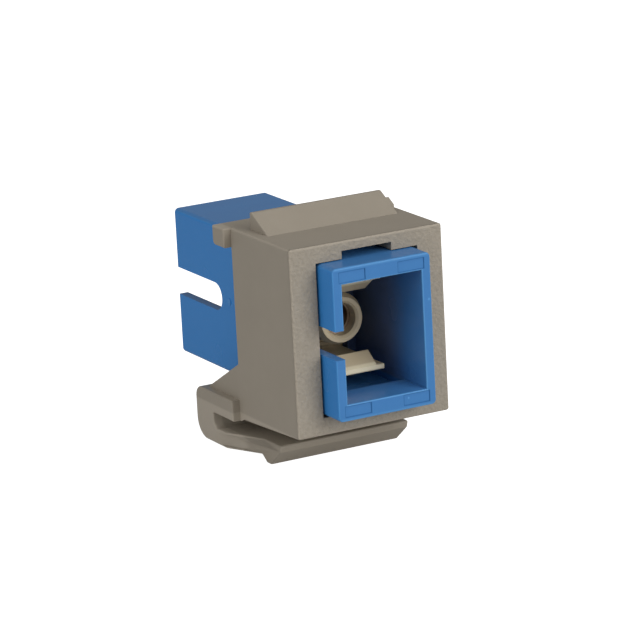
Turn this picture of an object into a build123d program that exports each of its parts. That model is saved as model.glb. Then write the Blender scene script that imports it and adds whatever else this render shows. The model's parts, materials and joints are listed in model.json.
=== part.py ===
from build123d import *
import os

# Snap-in fibre coupler module: a square push-pull adapter turned on its side in a grey snap-in housing.
# Millimetres. The origin is the optical mating point, halfway along the split sleeve.
# The front faces -Y, both ports lie along Y, +X is to the right seen from the front, and +Z is up.

# Adapter shells
adapter_width = 9.27
adapter_height = 13.04
adapter_length = 28.36
adapter_corner_radius = 0.4
adapter_face_radius = 0.15
mouth_edge_radius = 0.1
shell_side_wall = 0.86
shell_bar_wall = 1.42
mouth_bar_depth = 3.8
hook_pocket_wall = 0.75
keyway_width = 2.45
keyway_length = 8.3
ledge_thickness = 0.9
ledge_step_side = 0.45
ledge_step_top = 0.35
insert_mark_depth = 0.06
insert_mark_width = 2.46
insert_mark_spacing = 3.12
insert_mark_inset = 0.37
insert_mark_to_mouth = 0.14
gate_mark_radius = 0.3
gate_mark_height = 0.05
gate_mark_to_keyway = 1.35
key_rib_length = 3.0
key_rib_side_gap = 0.1
key_rib_top_gap = 0.1

# Latch carriers, hooks and split sleeve
ferrule_bore = 2.5
sleeve_wall = 0.35
sleeve_length = 11.4
sleeve_slit = 0.5
sleeve_clearance = 0.08
carrier_tube_wall = 0.57
carrier_lip_thickness = 1.17
carrier_nose_taper = 0.3
carrier_nose_length = 0.65
guide_bore = 2.86
guide_chamfer = 0.2
flange_width = 6.9
flange_height = 10.1
flange_thickness = 1.3
flange_clearance = 0.05
hook_width = 4.92
hook_catch_width = 3.5
hook_thickness = 0.45
hook_inner_height = 3.7
hook_reach = 9.45
hook_catch_reach = 7.93
hook_catch_height = 1.02
hook_catch_crest = 0.12
hook_root_radius = 0.34
hook_root_clearance = 0.03
hook_stub_wall = 0.3

# Grey housing
body_width = 14.5
body_height = 16.2
body_depth = 10.2
body_floor_draft = 0.55
body_edge_radius = 0.22
adapter_stands_proud = 2.4
side_wall = 1.4
face_wall = 1.9
window_side_gap = 0.2
window_top_gap = 0.08
notch_width = 4.7
notch_height = 0.68
notch_to_rib = 3.2
rib_stop_gap = 0.06
guide_rib_width = 1.6
guide_rib_start = 5.2
ear_proud = 0.73
ear_height = 1.65
ear_length = 2.0
ear_corner_radius = 0.4
ear_edge_radius = 0.15
ridge_width = 12.5
ridge_height = 1.5
ridge_length = 3.1
ridge_crest = 0.35
ridge_to_front = 5.45
ridge_edge_radius = 0.12
gate_stub_length = 0.9
gate_stub_to_foot = 1.0
gate_stub_proud = 0.2
web_start_drop = 3.77
web_reach = 5.7

# Springing latch below the housing
bow_reach = 17.15
bow_rear_wall = 3.1
bow_top_above_floor = 1.17
bow_plate_thickness = 1.82
bow_tab_start = 10.35
bow_slot_height = 1.3
bow_upper_radius = 0.95
bow_lower_radius = 1.7
bow_slot_upper_radius = 0.2
bow_slot_lower_radius = 0.6
leg_thickness = 1.4
leg_root_to_front = 13.0
leg_root_clearance = 0.03
leg_taper_start = 11.9
catch_rear_to_front = 8.45
catch_nose_to_front = 5.2
catch_width = 12.4
catch_parallel = 2.9
catch_drop = 0.68
catch_flat = 0.75
catch_rear_lean = 0.45
nose_thickness = 0.63
nose_lean = 0.2
latch_edge_radius = 0.15

# Places worked out from the sizes
front_y = -adapter_length / 2
face_y = front_y + adapter_stands_proud
body_rear_y = face_y + body_depth
half_body_height = body_height / 2
ear_width = body_width + 2 * ear_proud
window_width = adapter_width + 2 * window_side_gap
window_height = adapter_height + 2 * window_top_gap
rib_front_y = face_y + notch_to_rib
rib_rear_y = rib_front_y + key_rib_length
mouth_width = adapter_width - 2 * shell_side_wall
mouth_height = adapter_height - 2 * shell_bar_wall
pocket_height = adapter_height - 2 * hook_pocket_wall
sleeve_radius = ferrule_bore / 2 + sleeve_wall
carrier_bore_radius = sleeve_radius + sleeve_clearance
carrier_tube_radius = carrier_bore_radius + carrier_tube_wall
carrier_bore_y = -sleeve_length / 2 - sleeve_clearance
carrier_tube_y = carrier_bore_y - carrier_lip_thickness
flange_seat_y = -flange_thickness - flange_clearance
hook_root_y = -flange_thickness - hook_root_radius - hook_root_clearance
hook_root_z = hook_inner_height + hook_thickness / 2
hook_seat_radius = hook_root_radius + hook_root_clearance
bow_top = -half_body_height + bow_top_above_floor
bow_slot_top = bow_top - bow_plate_thickness
bow_rear_y = face_y + bow_reach
bow_slot_y = bow_rear_y - bow_rear_wall
leg_top = bow_slot_top - bow_slot_height
leg_bottom = leg_top - leg_thickness
leg_root_y = face_y + leg_root_to_front
leg_root_z = leg_top - leg_thickness / 2
beyond = adapter_length


def block(width, y0, y1, z0, z1, x=0):
    """A block of one width across X, centred on x, between two depths and two heights."""
    return Pos(x, (y0 + y1) / 2, (z0 + z1) / 2) * Box(width, y1 - y0, z1 - z0)


def profile(width, *points):
    """A closed outline of (y, z) points carried evenly across X."""
    line = Polyline(*[(0, y, z) for y, z in points], close=True)
    return extrude(make_face(line), amount=width / 2, dir=(1, 0, 0), both=True)


def bar_across(radius, width, y, z):
    """A round bar along X."""
    return Pos(0, y, z) * Rot(0, 90, 0) * Cylinder(radius, width)


def bar_along(radius, y0, y1):
    """A round bar along Y on the optical axis."""
    return Pos(0, (y0 + y1) / 2, 0) * Rot(90, 0, 0) * Cylinder(radius, y1 - y0)


def edges_at(shape, y, z):
    """The edges along X at one place of a profile."""
    near = shape.edges().filter_by(Axis.X).filter_by_position(Axis.Y, y - 0.01, y + 0.01)
    return near.filter_by_position(Axis.Z, z - 0.01, z + 0.01)


# Grey housing: one moulding with the window, the ridge and ears that hook the panel, and the latch bow
def body_block():
    """The box behind the face, with its drafted floor and softened outer edges."""
    box = profile(body_width,
                  (face_y, half_body_height),
                  (body_rear_y, half_body_height),
                  (body_rear_y, -half_body_height - body_floor_draft),
                  (face_y, -half_body_height))
    face_edges = box.faces().sort_by(Axis.Y)[0].edges()
    long_edges = box.edges().group_by(Axis.X)[0] + box.edges().group_by(Axis.X)[-1]
    side_edges = [edge for edge in long_edges if abs((edge @ 0).Y - (edge @ 1).Y) > body_depth / 2]
    return fillet(face_edges + side_edges, body_edge_radius)


def stop_ears():
    """The bar across the rear of the roof whose ends stop the module against the panel."""
    bar = block(ear_width, body_rear_y, body_rear_y + ear_length, half_body_height - ear_height, half_body_height)
    bar = fillet(edges_at(bar, body_rear_y + ear_length, half_body_height - ear_height), ear_corner_radius)
    return fillet(bar.faces().sort_by(Axis.X)[0].edges() + bar.faces().sort_by(Axis.X)[-1].edges(), ear_edge_radius)


def roof_ridge():
    """The fixed wedge on the roof that hooks behind the panel cut-out, with the gate stub at its right end."""
    front = face_y + ridge_to_front
    rear = front + ridge_length
    crest = half_body_height + ridge_height
    root = half_body_height - body_edge_radius
    outline = [(front, half_body_height), (rear - ridge_crest, crest), (rear, crest), (rear, root), (front, root)]
    ridge = profile(ridge_width, *outline)
    ridge = fillet([edge for edge in ridge.edges() if edge.center().Z > half_body_height], ridge_edge_radius)
    stub_front = front + gate_stub_to_foot
    right_half = block(ridge_width, stub_front, stub_front + gate_stub_length, root, crest, x=ridge_width / 2)
    return ridge + (profile(ridge_width + 2 * gate_stub_proud, *outline) & right_half)


def side_webs():
    """The side walls carried back and down to the latch bow."""
    inside = body_rear_y - side_wall
    start = half_body_height - ear_height
    return profile(body_width,
                   (inside, start),
                   (body_rear_y, start),
                   (body_rear_y, -web_start_drop),
                   (body_rear_y + web_reach, bow_top),
                   (body_rear_y + web_reach, bow_slot_top),
                   (body_rear_y, bow_slot_top),
                   (inside, -half_body_height))


def latch_bow():
    """The fixed part of the latch: plate, rounded rear wall, and the start of the lower leg with its seat."""
    tab_y = face_y + bow_tab_start
    bow = profile(ear_width,
                  (tab_y, bow_top), (bow_rear_y, bow_top), (bow_rear_y, leg_bottom), (leg_root_y, leg_bottom),
                  (leg_root_y, leg_top), (bow_slot_y, leg_top), (bow_slot_y, bow_slot_top), (tab_y, bow_slot_top))
    bow = fillet(edges_at(bow, bow_rear_y, bow_top), bow_upper_radius)
    bow = fillet(edges_at(bow, bow_rear_y, leg_bottom), bow_lower_radius)
    bow = fillet(edges_at(bow, bow_slot_y, bow_slot_top), bow_slot_upper_radius)
    bow = fillet(edges_at(bow, bow_slot_y, leg_top), bow_slot_lower_radius)
    bow = fillet(bow.faces().sort_by(Axis.X)[0].edges() + bow.faces().sort_by(Axis.X)[-1].edges(), latch_edge_radius)
    seat_radius = leg_thickness / 2 + leg_root_clearance
    return bow - bar_across(seat_radius, 2 * ear_width, leg_root_y, leg_root_z)


def window():
    """The through window for the adapter, with the blind notches that take its key ribs."""
    half = window_height / 2
    notch_half = half + notch_height
    opening = block(window_width, face_y - beyond, beyond, -half, half)
    return opening + block(notch_width, face_y - beyond, rib_rear_y + rib_stop_gap, -notch_half, notch_half)


def side_pockets():
    """The hollow behind the face on both sides of the adapter, around four guide ribs."""
    half = window_height / 2
    inner_width = body_width - 2 * side_wall
    pocket = block(inner_width, face_y + face_wall, beyond, -half, half)
    for height in (-half / 2, half / 2):
        rib = block(inner_width, face_y + guide_rib_start, body_rear_y,
                    height - guide_rib_width / 2, height + guide_rib_width / 2)
        pocket -= rib
    return pocket


def housing():
    """The whole grey moulding."""
    moulding = body_block() + stop_ears() + roof_ridge() + side_webs() + latch_bow()
    return moulding - window() - side_pockets()


# Springing leg of the latch: it flexes at its round root and carries the catch that holds the panel
def latch_arm():
    """The leg, its round root, and the wedge at its nose, narrowed in plan towards the catch."""
    nose_y = face_y + catch_nose_to_front
    catch_y = face_y + catch_rear_to_front
    catch_bottom = leg_bottom - catch_drop
    flat_rear = catch_y - catch_rear_lean
    leg = profile(ear_width,
                  (leg_root_y, leg_top), (nose_y, leg_top), (nose_y + nose_lean, leg_top - nose_thickness),
                  (flat_rear - catch_flat, catch_bottom), (flat_rear, catch_bottom),
                  (catch_y, leg_bottom), (leg_root_y, leg_bottom))
    leg = fillet(edges_at(leg, nose_y, leg_top) + edges_at(leg, flat_rear, catch_bottom), latch_edge_radius)
    leg += bar_across(leg_thickness / 2, ear_width, leg_root_y, leg_root_z)
    wide = ear_width / 2
    narrow = catch_width / 2
    rear = leg_root_y + leg_thickness
    taper_rear = face_y + leg_taper_start
    taper_front = nose_y + catch_parallel
    half_plan = [(wide, rear), (wide, taper_rear), (narrow, taper_front), (narrow, nose_y - 1)]
    other_half = [(-x, y) for x, y in reversed(half_plan)]
    plan = make_face(Polyline(*half_plan, *other_half, close=True))
    return leg & Pos(0, 0, -beyond) * extrude(plan, amount=beyond, dir=(0, 0, 1))


# Blue adapter: two equal shells welded back to back at the middle, each with a plug mouth and a keyway
def keyway_cut():
    """The slot in the left wall for a plug's key, open at the mouth and round at its inner end."""
    radius = keyway_width / 2
    end_y = front_y + keyway_length - radius
    left_half = Pos(-adapter_width / 2, 0, 0)
    straight = left_half * block(adapter_width, front_y - 1, end_y, -radius, radius)
    return straight + left_half * bar_across(radius, adapter_width, end_y, 0)


def insert_marks():
    """The faint outlines that the mould's inserts leave on the two bars of the mouth."""
    middle = (insert_mark_spacing + insert_mark_width) / 2
    low = mouth_height / 2 + insert_mark_to_mouth
    high = adapter_height / 2 - insert_mark_inset
    back = front_y + insert_mark_depth
    upper = [block(insert_mark_width, front_y - 1, back, low, high, x) for x in (-middle, middle)]
    return upper + [mirror(mark, Plane.XY) for mark in upper]


def shell(with_ribs):
    """One half of the adapter, as the front one lies, with its gate mark; only the front one has key ribs."""
    half = adapter_height / 2
    ledge_y = flange_seat_y - ledge_thickness
    tube = block(adapter_width, front_y, 0, -half, half)
    tube = fillet(tube.edges().filter_by(Axis.Y), adapter_corner_radius)
    tube -= block(mouth_width, front_y - 1, ledge_y, -mouth_height / 2, mouth_height / 2)
    face_loops = tube.faces().sort_by(Axis.Y)[0]
    tube = fillet(face_loops.inner_wires()[0].edges(), mouth_edge_radius)
    tube = fillet(tube.faces().sort_by(Axis.Y)[0].outer_wire().edges(), adapter_face_radius)
    if with_ribs:
        rib_height = window_height / 2 + notch_height - key_rib_top_gap
        tube += block(notch_width - 2 * key_rib_side_gap, rib_front_y, rib_rear_y, -rib_height, rib_height)
    tube -= block(mouth_width, front_y + mouth_bar_depth, ledge_y, -pocket_height / 2, pocket_height / 2)
    seat_half = flange_height / 2 + flange_clearance
    tube -= block(flange_width + 2 * flange_clearance, flange_seat_y, 1, -seat_half, seat_half)
    passage = flange_height / 2 - ledge_step_top
    tube -= block(flange_width - 2 * ledge_step_side, ledge_y - 1, 1, -passage, passage)
    gate_y = front_y + keyway_length + gate_mark_to_keyway
    tube += Pos(-adapter_width / 2, gate_y, 0) * Rot(0, 90, 0) * Cylinder(gate_mark_radius, 2 * gate_mark_height)
    return tube - keyway_cut() - insert_marks()


# Beige latch carriers: a flange trapped between the shells, the ferrule tube, and two seats for the hooks
def front_carrier():
    """The front carrier, without its two springing hooks."""
    half = flange_height / 2
    carrier = block(flange_width, -flange_thickness, 0, -half, half)
    nose_rear_y = carrier_tube_y + carrier_nose_length
    nose = Cone(carrier_tube_radius, carrier_tube_radius - carrier_nose_taper, carrier_nose_length)
    carrier += bar_along(carrier_tube_radius, nose_rear_y, 0)
    carrier += Pos(0, (carrier_tube_y + nose_rear_y) / 2, 0) * Rot(90, 0, 0) * nose
    stub_half = hook_seat_radius + hook_stub_wall
    for side in (-1, 1):
        height = side * hook_root_z
        stub = block(hook_width, hook_root_y, -flange_thickness, height - stub_half, height + stub_half)
        carrier += stub - bar_across(hook_seat_radius, hook_width, hook_root_y, height)
    carrier -= bar_along(carrier_bore_radius, carrier_bore_y, 1)
    carrier -= bar_along(guide_bore / 2, carrier_tube_y - 1, 0)
    mouth_edge = carrier.edges().filter_by(GeomType.CIRCLE).group_by(Axis.Y)[0].sort_by(SortBy.RADIUS)[0]
    return chamfer(mouth_edge, guide_chamfer)


def front_hook(side):
    """One springing hook of the front carrier: side 1 is the upper one, and side -1 the lower one."""
    inner = hook_inner_height
    outer = inner + hook_thickness
    crest = inner - hook_catch_height
    catch_y = -hook_catch_reach
    beam = profile(hook_width, (hook_root_y, inner), (hook_root_y, outer), (-hook_reach, outer), (-hook_reach, inner))
    beam = fillet(edges_at(beam, -hook_reach, outer), hook_thickness / 3)
    catch = profile(hook_catch_width,
                    (-hook_reach, inner), (catch_y - hook_catch_crest, crest), (catch_y, crest),
                    (catch_y, outer - hook_thickness / 2), (-hook_reach, outer - hook_thickness / 2))
    root = bar_across(hook_root_radius, hook_width, hook_root_y, hook_root_z)
    hook = beam + catch + root
    return hook if side > 0 else mirror(hook, Plane.XY)


# Split sleeve: the springy bronze tube that holds the two ferrules in line
def split_sleeve():
    """The sleeve, slit along its whole length on its upper side."""
    half = sleeve_length / 2
    sleeve = bar_along(sleeve_radius, -half, half) - bar_along(ferrule_bore / 2, -half, half)
    return sleeve - block(sleeve_slit, -half, half, 0, 2 * sleeve_radius)


def turned(piece):
    """The same piece at the rear: turned half a turn about the left-right axis."""
    return Rot(180, 0, 0) * piece


pieces = {
    "housing": housing(),
    "latch_arm": latch_arm(),
    "front_shell": shell(with_ribs=True),
    "front_latch_carrier": front_carrier(),
    "front_upper_hook": front_hook(1),
    "front_lower_hook": front_hook(-1),
    "split_sleeve": split_sleeve(),
}
pieces["rear_shell"] = turned(shell(with_ribs=False))
pieces["rear_latch_carrier"] = turned(pieces["front_latch_carrier"])
pieces["rear_lower_hook"] = turned(pieces["front_upper_hook"])
pieces["rear_upper_hook"] = turned(pieces["front_lower_hook"])

os.makedirs("parts", exist_ok=True)
for name, piece in pieces.items():
    export_step(piece, f"parts/{name}.step")
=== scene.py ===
import bpy
import json
import math
import numpy as np
from mathutils import Matrix, Vector


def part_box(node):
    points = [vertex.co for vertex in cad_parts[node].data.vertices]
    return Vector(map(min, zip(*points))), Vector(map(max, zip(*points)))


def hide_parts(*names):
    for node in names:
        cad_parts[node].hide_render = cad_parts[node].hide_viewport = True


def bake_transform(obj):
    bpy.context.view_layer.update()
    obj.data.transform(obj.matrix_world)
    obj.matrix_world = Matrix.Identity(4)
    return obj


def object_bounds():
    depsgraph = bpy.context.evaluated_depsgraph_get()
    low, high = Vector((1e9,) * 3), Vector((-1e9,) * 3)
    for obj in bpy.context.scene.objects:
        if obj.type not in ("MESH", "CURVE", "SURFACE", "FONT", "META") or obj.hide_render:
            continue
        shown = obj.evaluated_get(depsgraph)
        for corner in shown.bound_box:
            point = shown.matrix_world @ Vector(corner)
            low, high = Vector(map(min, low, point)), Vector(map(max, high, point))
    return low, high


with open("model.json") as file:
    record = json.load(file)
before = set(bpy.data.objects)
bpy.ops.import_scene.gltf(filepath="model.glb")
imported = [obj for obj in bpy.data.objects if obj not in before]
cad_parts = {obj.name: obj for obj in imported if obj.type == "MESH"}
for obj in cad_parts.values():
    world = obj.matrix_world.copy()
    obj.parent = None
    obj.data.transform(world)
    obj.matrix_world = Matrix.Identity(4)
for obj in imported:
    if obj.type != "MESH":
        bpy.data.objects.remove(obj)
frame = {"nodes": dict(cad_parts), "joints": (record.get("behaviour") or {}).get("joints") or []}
cad_low, cad_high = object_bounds()


# Grey housing: one stiff moulding that snaps into a panel opening by its roof ridge and its sprung
# foot. It is a matt engineering plastic. Its face carries the even grain of a spark-eroded mould,
# and its sides are smoother, with a faint grain that is drawn out upwards.
class Shade:
    """One socket of a material. Sums of shades and numbers add the Math nodes that work them out."""

    def __init__(self, tree, socket=None):
        self.tree = tree
        self.socket = socket

    def node(self, kind, settings=None, inputs=None, out=0):
        """Adds a node: first its settings, then a value or a shade for each of its sockets."""
        made = self.tree.nodes.new("ShaderNode" + kind)
        for name, value in (settings or {}).items():
            setattr(made, name, value)
        for name, value in (inputs or {}).items():
            if isinstance(value, Shade):
                self.tree.links.new(value.socket, made.inputs[name])
            else:
                made.inputs[name].default_value = value
        return Shade(self.tree, made.outputs[out])

    def maths(self, operation, first, second=0.0):
        return self.node("Math", {"operation": operation}, {0: first, 1: second})

    def __add__(self, other):
        return self.maths("ADD", self, other)

    def __sub__(self, other):
        return self.maths("SUBTRACT", self, other)

    def __mul__(self, other):
        return self.maths("MULTIPLY", self, other)

    def __rsub__(self, other):
        return self.maths("SUBTRACT", other, self)

    __radd__ = __add__
    __rmul__ = __mul__

    def absolute(self):
        return self.maths("ABSOLUTE", self)

    def larger(self, other):
        return self.maths("MAXIMUM", self, other)

    def between(self, low, high):
        """0 under low, 1 over high, and a smooth step in between."""
        settings = {"interpolation_type": "SMOOTHSTEP", "clamp": True}
        inputs = {"Value": self, "From Min": low, "From Max": high}
        return self.node("MapRange", settings, inputs)

    def close_to(self, limit, depth):
        """1 where this shade's size reaches a limit, with a smooth fall to 0 a depth before it."""
        return self.absolute().between(limit - depth, limit)

    def mixed(self, low, high):
        """A colour that goes from low to high as this shade goes from 0 to 1."""
        first, second = (colour if isinstance(colour, Shade) else (*colour, 1.0)
                         for colour in (low, high))
        # The Mix node's colours are its sockets 6 and 7, and its mixed colour is output 2.
        return self.node("Mix", {"data_type": "RGBA"}, {0: self, 6: first, 7: second}, out=2)


def new_material(name, colour, roughness, specular):
    """One Principled shader. Its colour and roughness hold until a pattern is connected."""
    material = bpy.data.materials.new(name)
    material.use_nodes = True
    shader = material.node_tree.nodes["Principled BSDF"]
    shader.inputs["Base Color"].default_value = (*colour, 1.0)
    shader.inputs["Roughness"].default_value = roughness
    shader.inputs["Specular IOR Level"].default_value = specular
    return material, Shade(material.node_tree), shader


def place(graph, stretch=(1.0, 1.0, 1.0)):
    """The point on the object in its own coordinates, in metres, times a stretch for each axis."""
    coordinates = graph.node("TexCoord", out="Object")
    return graph.node("Mapping", None, {"Vector": coordinates, "Scale": stretch})


def axes(point):
    """The three coordinates of a point."""
    split = point.node("SeparateXYZ", None, {"Vector": point}).socket.node
    return [Shade(point.tree, output) for output in split.outputs]


def noise(point, size, detail=2.0, rough=0.5):
    """Noise with lumps about one size across, in metres."""
    inputs = {"Vector": point, "Scale": 1.0 / size, "Detail": detail, "Roughness": rough}
    return point.node("TexNoise", None, inputs)


def connect(shader, socket, shade):
    """Feeds one socket of the shader."""
    shade.tree.links.new(shade.socket, shader.inputs[socket])


def bump(shader, height):
    """Raises and lowers the surface by a height shade that is in millimetres."""
    normal = height.node("Bump", None, {"Height": height, "Distance": mm, "Strength": 1.0})
    connect(shader, "Normal", normal)


def dress(node, material):
    """Puts one material on every slot of a CAD piece."""
    slots = frame["nodes"][node].data.materials
    if not slots:
        slots.append(material)
    for index in range(len(slots)):
        slots[index] = material


mm = 0.001
grey_plain = (0.335, 0.292, 0.232)
grey_dark = (0.300, 0.262, 0.208)
grey_light = (0.365, 0.320, 0.258)
grey_edge_highlight = (0.420, 0.370, 0.300)
grey_specular = 0.4
grey_plain_roughness = 0.62
side_roughness = 0.56
face_roughness_more = 0.14
grain_roughness_more = 0.06
housing_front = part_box("housing")[0].y
housing_side = 7.25 * mm
housing_top = 8.1 * mm
edge_round = 0.22 * mm
face_skin_from = 0.1 * mm
face_skin_to = 0.3 * mm
face_grain_size = 0.3 * mm
face_grain_height_mm = 0.14
side_grain_size = 0.09 * mm
side_grain_stretch = (1.0, 1.0, 0.25)
side_grain_height_mm = 0.004
mottle_size = 2.6 * mm
mottle_share = 0.45
fleck_share = 0.55
fleck_from = 0.35
fleck_to = 0.68

grey_plastic, graph, shader = new_material(
    "grey_moulded_plastic", grey_plain, grey_plain_roughness, grey_specular)
point = place(graph)
x, y, z = axes(point)
on_face = 1.0 - y.between(housing_front + face_skin_from, housing_front + face_skin_to)
# Painted highlight: paler along the outer edges where the face, the top and the sides meet.
near_side = x.close_to(housing_side, edge_round)
near_top = z.close_to(housing_top, edge_round)
near_face = 1.0 - y.between(housing_front, housing_front + edge_round)
edge_highlight = (near_side * near_top).larger((near_side * near_face).larger(near_top * near_face))
face_grain = noise(point, face_grain_size, detail=3.0, rough=0.6)
side_grain = noise(place(graph, side_grain_stretch), side_grain_size, detail=1.0)
mottle = noise(point, mottle_size)
fleck = face_grain.between(fleck_from, fleck_to)
plain_fleck = 0.5 * fleck_share
tone = mottle * mottle_share + fleck * fleck_share * on_face + plain_fleck * (1.0 - on_face)
roughness = side_roughness + on_face * face_roughness_more + side_grain * grain_roughness_more
connect(shader, "Base Color", edge_highlight.mixed(tone.mixed(grey_dark, grey_light), grey_edge_highlight))
connect(shader, "Roughness", roughness)
bump(shader, face_grain * on_face * face_grain_height_mm + side_grain * side_grain_height_mm)
dress("housing", grey_plastic)


# Latch leg: the lower limb of the housing's own moulding, a flat spring that ends in a wedge-shaped
# catch. It bends upwards from the bow behind it when the module is pushed in or taken out. It is
# drawn as one smooth piece with rounded corners, whose round root fills the bow's seat.
leg_low, leg_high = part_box("latch_arm")
flex = next(joint for joint in frame["joints"] if joint["name"] == "latch_flex")
root_y, root_z = flex["pos_m"][1:]
leg_half = leg_high.z - root_z
leg_top = root_z + leg_half
leg_bottom = root_z - leg_half
leg_wide = leg_high.x
leg_narrow = 6.2 * mm
nose_y = leg_low.y
nose_set_back = 0.2 * mm
nose_height = 0.63 * mm
nose_round = 0.16 * mm
catch_rear = nose_y + 3.25 * mm
catch_bottom = leg_low.z
foot_front = catch_rear - 1.2 * mm
foot_rear = catch_rear - 0.45 * mm
foot_round = 0.2 * mm
small_round = 0.12 * mm
side_round = 0.15 * mm
taper_front = nose_y + 2.9 * mm
taper_rear = root_y - 1.1 * mm
outline_step = 0.25 * mm
root_arc_points = 13
side_rings = 5
corner_slack = 0.01 * mm
bend_length = 3.4 * mm
crease_angle = math.radians(35)

# The root is a touch fatter than half the leg, so that it closes the gap of the bow's seat.
root_fatter = 0.035 * mm
seat_radius = leg_half + root_fatter
seat_reach = math.sqrt(seat_radius ** 2 - leg_half ** 2)
seat_angle = math.atan2(leg_half, seat_reach)
root_end = root_y + seat_reach


def rounded_path(outline, arc_points=5):
    """A closed outline in (y, z) from rows of y, z and radius, with its corners rounded.

    The arc at a corner touches both runs at radius / tan(half the angle between them). Its centre
    lies on the bisector, at radius / sin(half the angle), and its points share the turn evenly.
    """
    table = np.asarray(outline, float)
    points = table[:, :2]
    path = []
    for index, radius in enumerate(table[:, 2]):
        corner = points[index]
        if radius <= 0:
            path.append(corner[None, :])
            continue
        back = points[index - 1] - corner
        ahead = points[(index + 1) % len(points)] - corner
        back /= np.linalg.norm(back)
        ahead /= np.linalg.norm(ahead)
        half = math.acos(np.clip(back @ ahead, -1, 1)) / 2
        bisector = (back + ahead) / np.linalg.norm(back + ahead)
        centre = corner + bisector * radius / math.sin(half)
        start = corner + back * radius / math.tan(half) - centre
        end = corner + ahead * radius / math.tan(half) - centre
        share = np.linspace(0, 1, arc_points)[:, None]
        turn = math.pi - 2 * half
        arc = (np.sin((1 - share) * turn) * start + np.sin(share * turn) * end) / math.sin(turn)
        path.append(centre + arc)
    return np.vstack(path)


def spaced(path, step):
    """The same closed outline, with each run cut into equal parts of at most one step."""
    runs = np.roll(path, -1, axis=0) - path
    parts = np.maximum(1, np.ceil(np.linalg.norm(runs, axis=1) / step).astype(int))
    first = np.repeat(np.cumsum(parts) - parts, parts)
    share = (np.arange(parts.sum()) - first) / np.repeat(parts, parts)
    return np.repeat(path, parts, axis=0) + np.repeat(runs, parts, axis=0) * share[:, None]


def inset_normals(path):
    """Unit vectors into a closed outline: at each point the mean direction of the run before and the
    run after, turned by a quarter turn towards the inside, which the sign of the area tells."""
    ahead = np.roll(path, -1, axis=0) - path
    ahead /= np.linalg.norm(ahead, axis=1)[:, None]
    mean = ahead + np.roll(ahead, 1, axis=0)
    mean /= np.linalg.norm(mean, axis=1)[:, None]
    normals = np.stack([-mean[:, 1], mean[:, 0]], axis=1)
    y_now, z_now = path.T
    area = np.sum(y_now * np.roll(z_now, -1) - np.roll(y_now, -1) * z_now)
    return normals * np.sign(area)


def half_width(y):
    """Half of the leg's width: full at the root, a straight taper, then narrow along the catch."""
    return np.interp(y, [taper_front, taper_rear], [leg_narrow, leg_wide])


def tube_mesh(name, grid):
    """A closed tube from a grid of rings by points: quads join each ring to the next one, and one
    face fills each end ring."""
    rings, count = grid.shape[:2]
    ring = np.arange(rings - 1)[:, None] * count
    here = np.arange(count)[None, :]
    after = (here + 1) % count
    quads = np.stack([ring + here, ring + after, ring + count + after, ring + count + here], axis=-1)
    faces = quads.reshape(-1, 4).tolist()
    faces.append(list(range(count))[::-1])
    faces.append(list(range((rings - 1) * count, rings * count)))
    mesh = bpy.data.meshes.new(name)
    mesh.from_pydata(grid.reshape(-1, 3).tolist(), [], faces)
    mesh.update()
    piece = bpy.data.objects.new(name, mesh)
    bpy.context.scene.collection.objects.link(piece)
    return piece


def finish_faces(piece):
    """Turns every face of a closed piece outwards, and shades it smooth up to the crease angle."""
    bpy.ops.object.select_all(action="DESELECT")
    bpy.context.view_layer.objects.active = piece
    piece.select_set(True)
    bpy.ops.object.mode_set(mode="EDIT")
    bpy.ops.mesh.select_all(action="SELECT")
    bpy.ops.mesh.normals_make_consistent(inside=False)
    bpy.ops.object.mode_set(mode="OBJECT")
    bpy.ops.object.shade_smooth_by_angle(angle=crease_angle)
    piece.select_set(False)


leg_path = rounded_path([
    (nose_y + nose_set_back, leg_top - nose_height, small_round),
    (foot_front, catch_bottom, foot_round),
    (foot_rear, catch_bottom, foot_round),
    (catch_rear, leg_bottom, small_round),
    (root_end, leg_bottom, 0),
    (root_end, leg_top, 0),
    (nose_y, leg_top, nose_round),
])
root_turn = np.linspace(-seat_angle, seat_angle, root_arc_points)
root_points = np.stack([root_y + seat_radius * np.cos(root_turn),
                        root_z + seat_radius * np.sin(root_turn)], axis=1)
tail = np.flatnonzero(leg_path[:, 0] > root_y)
leg_path = np.vstack([leg_path[:tail[0]], root_points, leg_path[tail[-1] + 1:]])
leg_path = spaced(leg_path, outline_step)
path_y, path_z = leg_path.T

# The round root isn't drawn in at the sides, so that it fills its seat. Only its two corners are.
inward = inset_normals(leg_path)
at_root = path_y > root_y
at_corner = np.abs(path_z - root_z) > leg_half - corner_slack
inward[at_root] = 0.0
inward[at_root & at_corner, 1] = np.sign(root_z - path_z[at_root & at_corner])

# Each ring of the grid is the outline at one place across the leg. The rings at a side follow a
# quarter circle: they fall short of the full width by the radius times 1 - cos of its turn, and
# draw the outline in by the radius times 1 - sin of it. One more ring lies in the middle.
quarter = np.linspace(0, math.pi / 2, side_rings)
draw_in = (1 - np.sin(quarter)) * side_round
fall_back = (1 - np.cos(quarter)) * side_round
hand = np.repeat([-1.0, 0.0, 1.0], [side_rings, 1, side_rings])[:, None]
draw_in = np.concatenate([draw_in, [0.0], draw_in[::-1]])[:, None]
fall_back = np.concatenate([fall_back, [side_round], fall_back[::-1]])[:, None]
leg_grid = np.stack([
    hand * (half_width(path_y) - fall_back),
    path_y + draw_in * inward[:, 0],
    path_z + draw_in * inward[:, 1],
], axis=-1)
latch_leg = tube_mesh("latch_leg", leg_grid)
finish_faces(latch_leg)
latch_leg.data.materials.append(grey_plastic)
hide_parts("latch_arm")
bend_end = (0, root_end - bend_length, root_z)
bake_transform(latch_leg)


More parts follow.
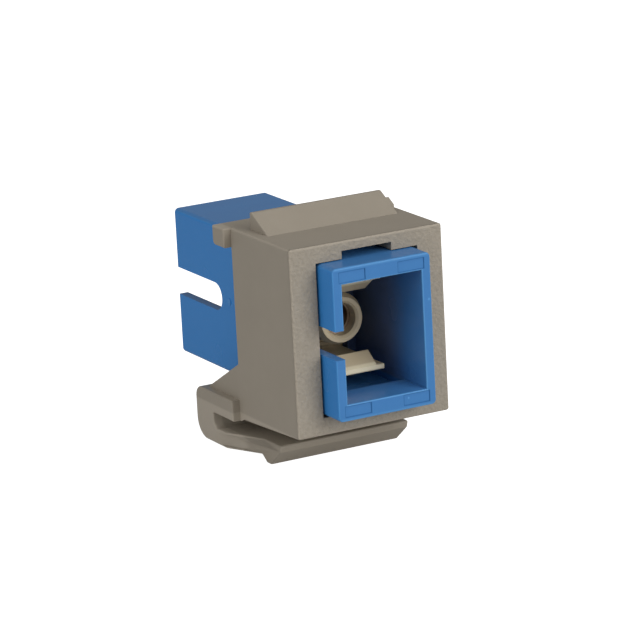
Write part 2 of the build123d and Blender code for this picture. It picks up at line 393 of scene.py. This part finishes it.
# Blue adapter: two equal shells welded back to back, moulded in a hard glossy plastic in the
# standard blue, smooth with a slight waviness. Its bluer side walls and greyer insides are fitted
# to the light of the photograph, and are no property of the plastic.
blue_plain = (0.060, 0.207, 0.480)
blue_deep = (0.054, 0.188, 0.450)
blue_pale = (0.069, 0.228, 0.510)
blue_edge_highlight = (0.110, 0.330, 0.640)
blue_mark_shade = (0.025, 0.120, 0.300)
blue_side_light_tint = (0.038, 0.240, 0.630)
blue_inside_shade = (0.125, 0.175, 0.310)
blue_specular = 0.12
blue_plain_roughness = 0.26
blue_roughness = 0.22
wave_roughness_more = 0.08
wave_size = 3.5 * mm
wave_height_mm = 0.012
wave_share = 0.7
scuff_size = 0.35 * mm
scuff_stretch = (1.0, 0.3, 1.0)
scuff_share = 0.3
shell_side = 4.635 * mm
shell_top = 6.52 * mm
shell_end = 14.18 * mm
corner_round = 0.15 * mm
bar_round = 0.3 * mm
edge_highlight_share = 0.75
side_skin_from = 0.12 * mm
side_skin_to = 0.02 * mm
side_light_share = 0.8
mouth_side = 3.775 * mm
mouth_top = 5.1 * mm
mouth_edge_from = 0.06 * mm
mouth_edge_to = 0.14 * mm
mouth_edge_depth = 0.16 * mm
inside_from = 0.02 * mm
inside_to = 0.3 * mm
inside_shallow = 11.5 * mm
inside_deep = 7.5 * mm
pale_spot_place = (4.35 * mm, -shell_end, 2.54 * mm)
low_pale_spot_place = (2.02 * mm, -shell_end, -5.56 * mm)
pale_spot_radius = 0.12 * mm
pale_spot_share = 0.7
gate_place = (-shell_side, 4.53 * mm, 0.0)
gate_radius = 0.3 * mm
gate_share = 0.35
mark_middle_x = 2.79 * mm
mark_middle_z = 5.695 * mm
mark_half_width = 1.23 * mm
mark_half_height = 0.455 * mm
mark_shade_from = 0.02 * mm
mark_shade_to = 0.08 * mm
mark_skin_from = 0.1 * mm
mark_skin_to = 0.02 * mm
mark_shade_share = 0.6


def spot(point, centre, radius):
    """1 around a place in metres, and a soft rim from 0.6 to 1.2 times a radius down to 0."""
    away = point.node("VectorMath", {"operation": "DISTANCE"}, {0: point, 1: centre}, out="Value")
    return 1.0 - away.between(0.6 * radius, 1.2 * radius)


blue_plastic, graph, shader = new_material(
    "blue_moulded_plastic", blue_plain, blue_plain_roughness, blue_specular)
point = place(graph)
x, y, z = axes(point)
wave = noise(point, wave_size)
scuff = noise(place(graph, scuff_stretch), scuff_size, detail=4.0, rough=0.65)

# A painted highlight along the shell's outer corners and the mouth's inner edge. It is also paler at
# two small spots on the front face and at the gate mark.
near_side = x.close_to(shell_side, corner_round)
near_top = z.close_to(shell_top, bar_round)
near_mouth = y.close_to(shell_end, corner_round)
rim = (x.absolute() - mouth_side).larger(z.absolute() - mouth_top)
mouth_edge = 1.0 - rim.between(mouth_edge_from, mouth_edge_to)
mouth_edge = mouth_edge * y.close_to(shell_end, mouth_edge_depth)
edge_highlight = (near_side * near_top).larger((near_side.larger(near_top) * near_mouth).larger(mouth_edge))
pale_spots = spot(point, pale_spot_place, pale_spot_radius).larger(spot(point, low_pale_spot_place, pale_spot_radius))
gate = spot(point, gate_place, gate_radius)
pale = (edge_highlight * edge_highlight_share).larger((pale_spots * pale_spot_share).larger(gate * gate_share))

# Painted shade: a dark line around each of the shallow insert marks on the bars at the mouth, along
# the edge of its step.
mark_across = (x.absolute() - mark_middle_x).absolute() - mark_half_width
mark_up = (z.absolute() - mark_middle_z).absolute() - mark_half_height
mark_shade = 1.0 - mark_across.larger(mark_up).absolute().between(mark_shade_from, mark_shade_to)
mark_shade = mark_shade * y.absolute().between(shell_end - mark_skin_from, shell_end - mark_skin_to)

# Painted light: the side walls are tinted a more saturated blue, and the inside of the mouth, from
# about 3 mm in, turns a greyer, darker blue as painted shade.
side_light_tint = x.absolute().between(shell_side - side_skin_from, shell_side - side_skin_to)
inside = 1.0 - rim.between(inside_from, inside_to)
inside = inside * (1.0 - y.absolute().between(inside_deep, inside_shallow))
body = (wave * wave_share + scuff * scuff_share).mixed(blue_deep, blue_pale)
body = (side_light_tint * side_light_share).mixed(body, blue_side_light_tint)
body = inside.mixed(body, blue_inside_shade)
body = (mark_shade * mark_shade_share).mixed(body, blue_mark_shade)
connect(shader, "Base Color", pale.mixed(body, blue_edge_highlight))
connect(shader, "Roughness", blue_roughness + wave * wave_roughness_more)
bump(shader, wave * wave_height_mm)
dress("front_shell", blue_plastic)
dress("rear_shell", blue_plastic)


# Beige latch carriers and their hooks: each carrier is one moulding in a springy natural-coloured
# plastic, trapped between the shells, with the ferrule tube and two hooks that grip the plug. The
# paler tips of the hooks stand for a highlight in the photograph.
beige_plain = (0.59, 0.485, 0.315)
beige_dark = (0.56, 0.455, 0.285)
beige_light = (0.62, 0.51, 0.34)
beige_tip = (0.82, 0.72, 0.50)
beige_specular = 0.6
beige_plain_roughness = 0.3
beige_roughness = 0.26
fine_roughness_more = 0.1
cloud_size = 1.4 * mm
cloud_height_mm = 0.01
fine_size = 0.12 * mm
fine_height_mm = 0.002
hook_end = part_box("rear_upper_hook")[1].y
tip_from = 0.4 * mm
tip_to = 0.2 * mm

beige_plastic, graph, shader = new_material(
    "beige_moulded_plastic", beige_plain, beige_plain_roughness, beige_specular)
point = place(graph)
x, y, z = axes(point)
cloud = noise(point, cloud_size, detail=3.0)
fine = noise(point, fine_size)
tip = y.absolute().between(hook_end - tip_from, hook_end - tip_to)
connect(shader, "Base Color", tip.mixed(cloud.mixed(beige_dark, beige_light), beige_tip))
connect(shader, "Roughness", beige_roughness + fine * fine_roughness_more)
bump(shader, cloud * cloud_height_mm + fine * fine_height_mm)
for end in ("front", "rear"):
    for part in ("latch_carrier", "upper_hook", "lower_hook"):
        dress(end + "_" + part, beige_plastic)


# Split sleeve: a thin tube of phosphor bronze, rolled from strip with one slit along it so that it
# grips. It floats in the carriers' bores and is glimpsed only down the ferrule tube.
bronze_plain = (0.48, 0.36, 0.26)
bronze_dark = (0.42, 0.31, 0.22)
bronze_light = (0.54, 0.42, 0.31)
bronze_specular = 0.5
bronze_plain_roughness = 0.4
bronze_roughness = 0.34
drawn_roughness_more = 0.16
drawn_size = 0.1 * mm
drawn_stretch = (1.0, 0.1, 1.0)

bronze, graph, shader = new_material(
    "drawn_bronze", bronze_plain, bronze_plain_roughness, bronze_specular)
shader.inputs["Metallic"].default_value = 1.0
drawn = noise(place(graph, drawn_stretch), drawn_size)
connect(shader, "Base Color", drawn.mixed(bronze_dark, bronze_light))
connect(shader, "Roughness", bronze_roughness + drawn * drawn_roughness_more)
dress("split_sleeve", bronze)


# Studio: a pale grey table that shows white to the camera, a white surround, and three soft lamps,
# in front, above and at the left. The long-lens camera stands low and left of the front face, and
# its place, its lens and its roll are fitted to the outlines in the photograph.
floor_gap = 0.05 * mm
floor_z = cad_low.z - floor_gap
floor_half = 1.5
floor_tone = (0.55, 0.55, 0.55)
floor_glow = (0.12, 0.12, 0.12)
floor_roughness = 0.9
floor_specular = 0.0
white = (1.0, 1.0, 1.0)
ambient = 0.15
mirrored_share = 0.12
lamp_distance = 0.6
view_azimuth = -28.249
view_elevation = 14.931
view_roll = -2.991
view_distance = 333.38 * mm
view_target = Vector((-1.975, -6.747, 0.283)) * mm
lens_mm = 224.06
sensor_mm = 36.0


def direction(azimuth, elevation):
    """The unit vector towards a viewer: turned about Z from -Y, then lifted, in degrees."""
    a = math.radians(azimuth)
    e = math.radians(elevation)
    return Vector((math.sin(a) * math.cos(e), -math.cos(a) * math.cos(e), math.sin(e)))


def looking_back(target, back, distance, roll=0.0):
    """The matrix of a thing that looks at a target from a distance, rolled by some degrees."""
    turn = back.to_track_quat("Z", "Y").to_matrix().to_4x4()
    turn = turn @ Matrix.Rotation(math.radians(roll), 4, "Z")
    return Matrix.Translation(target + back * distance) @ turn


def soft_lamp(name, azimuth, elevation, size, watts):
    """A square lamp that looks at the module from an azimuth and an elevation, in degrees."""
    data = bpy.data.lights.new(name, "AREA")
    data.shape = "SQUARE"
    data.size = size
    data.energy = watts
    lamp = bpy.data.objects.new(name, data)
    bpy.context.scene.collection.objects.link(lamp)
    lamp.matrix_world = looking_back(Vector(), direction(azimuth, elevation), lamp_distance)


floor_mesh = bpy.data.meshes.new("floor")
floor_corners = [(-floor_half, -floor_half, floor_z), (floor_half, -floor_half, floor_z),
                 (floor_half, floor_half, floor_z), (-floor_half, floor_half, floor_z)]
floor_mesh.from_pydata(floor_corners, [], [(0, 1, 2, 3)])
floor = bpy.data.objects.new("floor", floor_mesh)
bpy.context.scene.collection.objects.link(floor)
floor_white, graph, shader = new_material(
    "floor_white", floor_tone, floor_roughness, floor_specular)
is_camera = graph.node("LightPath", out="Is Camera Ray")
connect(shader, "Emission Color", is_camera.mixed(floor_glow, white))
shader.inputs["Emission Strength"].default_value = 1.0
floor_mesh.materials.append(floor_white)

world = bpy.data.worlds.new("surround")
bpy.context.scene.world = world
world.use_nodes = True
background = world.node_tree.nodes["Background"]
background.inputs["Color"].default_value = (*white, 1.0)
sky = Shade(world.node_tree)
seen = sky.node("LightPath", out="Is Camera Ray")
mirrored = sky.node("LightPath", out="Is Glossy Ray")
through = sky.node("LightPath", out="Is Transmission Ray")
shown = seen.larger((mirrored * mirrored_share).larger(through))
connect(background, "Strength", ambient + shown * (1.0 - ambient))

soft_lamp("key_lamp", azimuth=21, elevation=19, size=0.38, watts=2.24)
soft_lamp("high_lamp", azimuth=-14, elevation=68, size=0.5, watts=1.0)
soft_lamp("left_lamp", azimuth=-82, elevation=22, size=0.5, watts=1.17)

camera_data = bpy.data.cameras.new("camera")
camera_data.lens = lens_mm
camera_data.sensor_width = sensor_mm
camera_data.clip_start = 1 * mm
camera_data.clip_end = 20.0
camera = bpy.data.objects.new("camera", camera_data)
bpy.context.scene.collection.objects.link(camera)
view_back = direction(view_azimuth, view_elevation)
camera.matrix_world = looking_back(view_target, view_back, view_distance, view_roll)
bpy.context.scene.camera = camera
bpy.context.scene.view_settings.view_transform = "Standard"
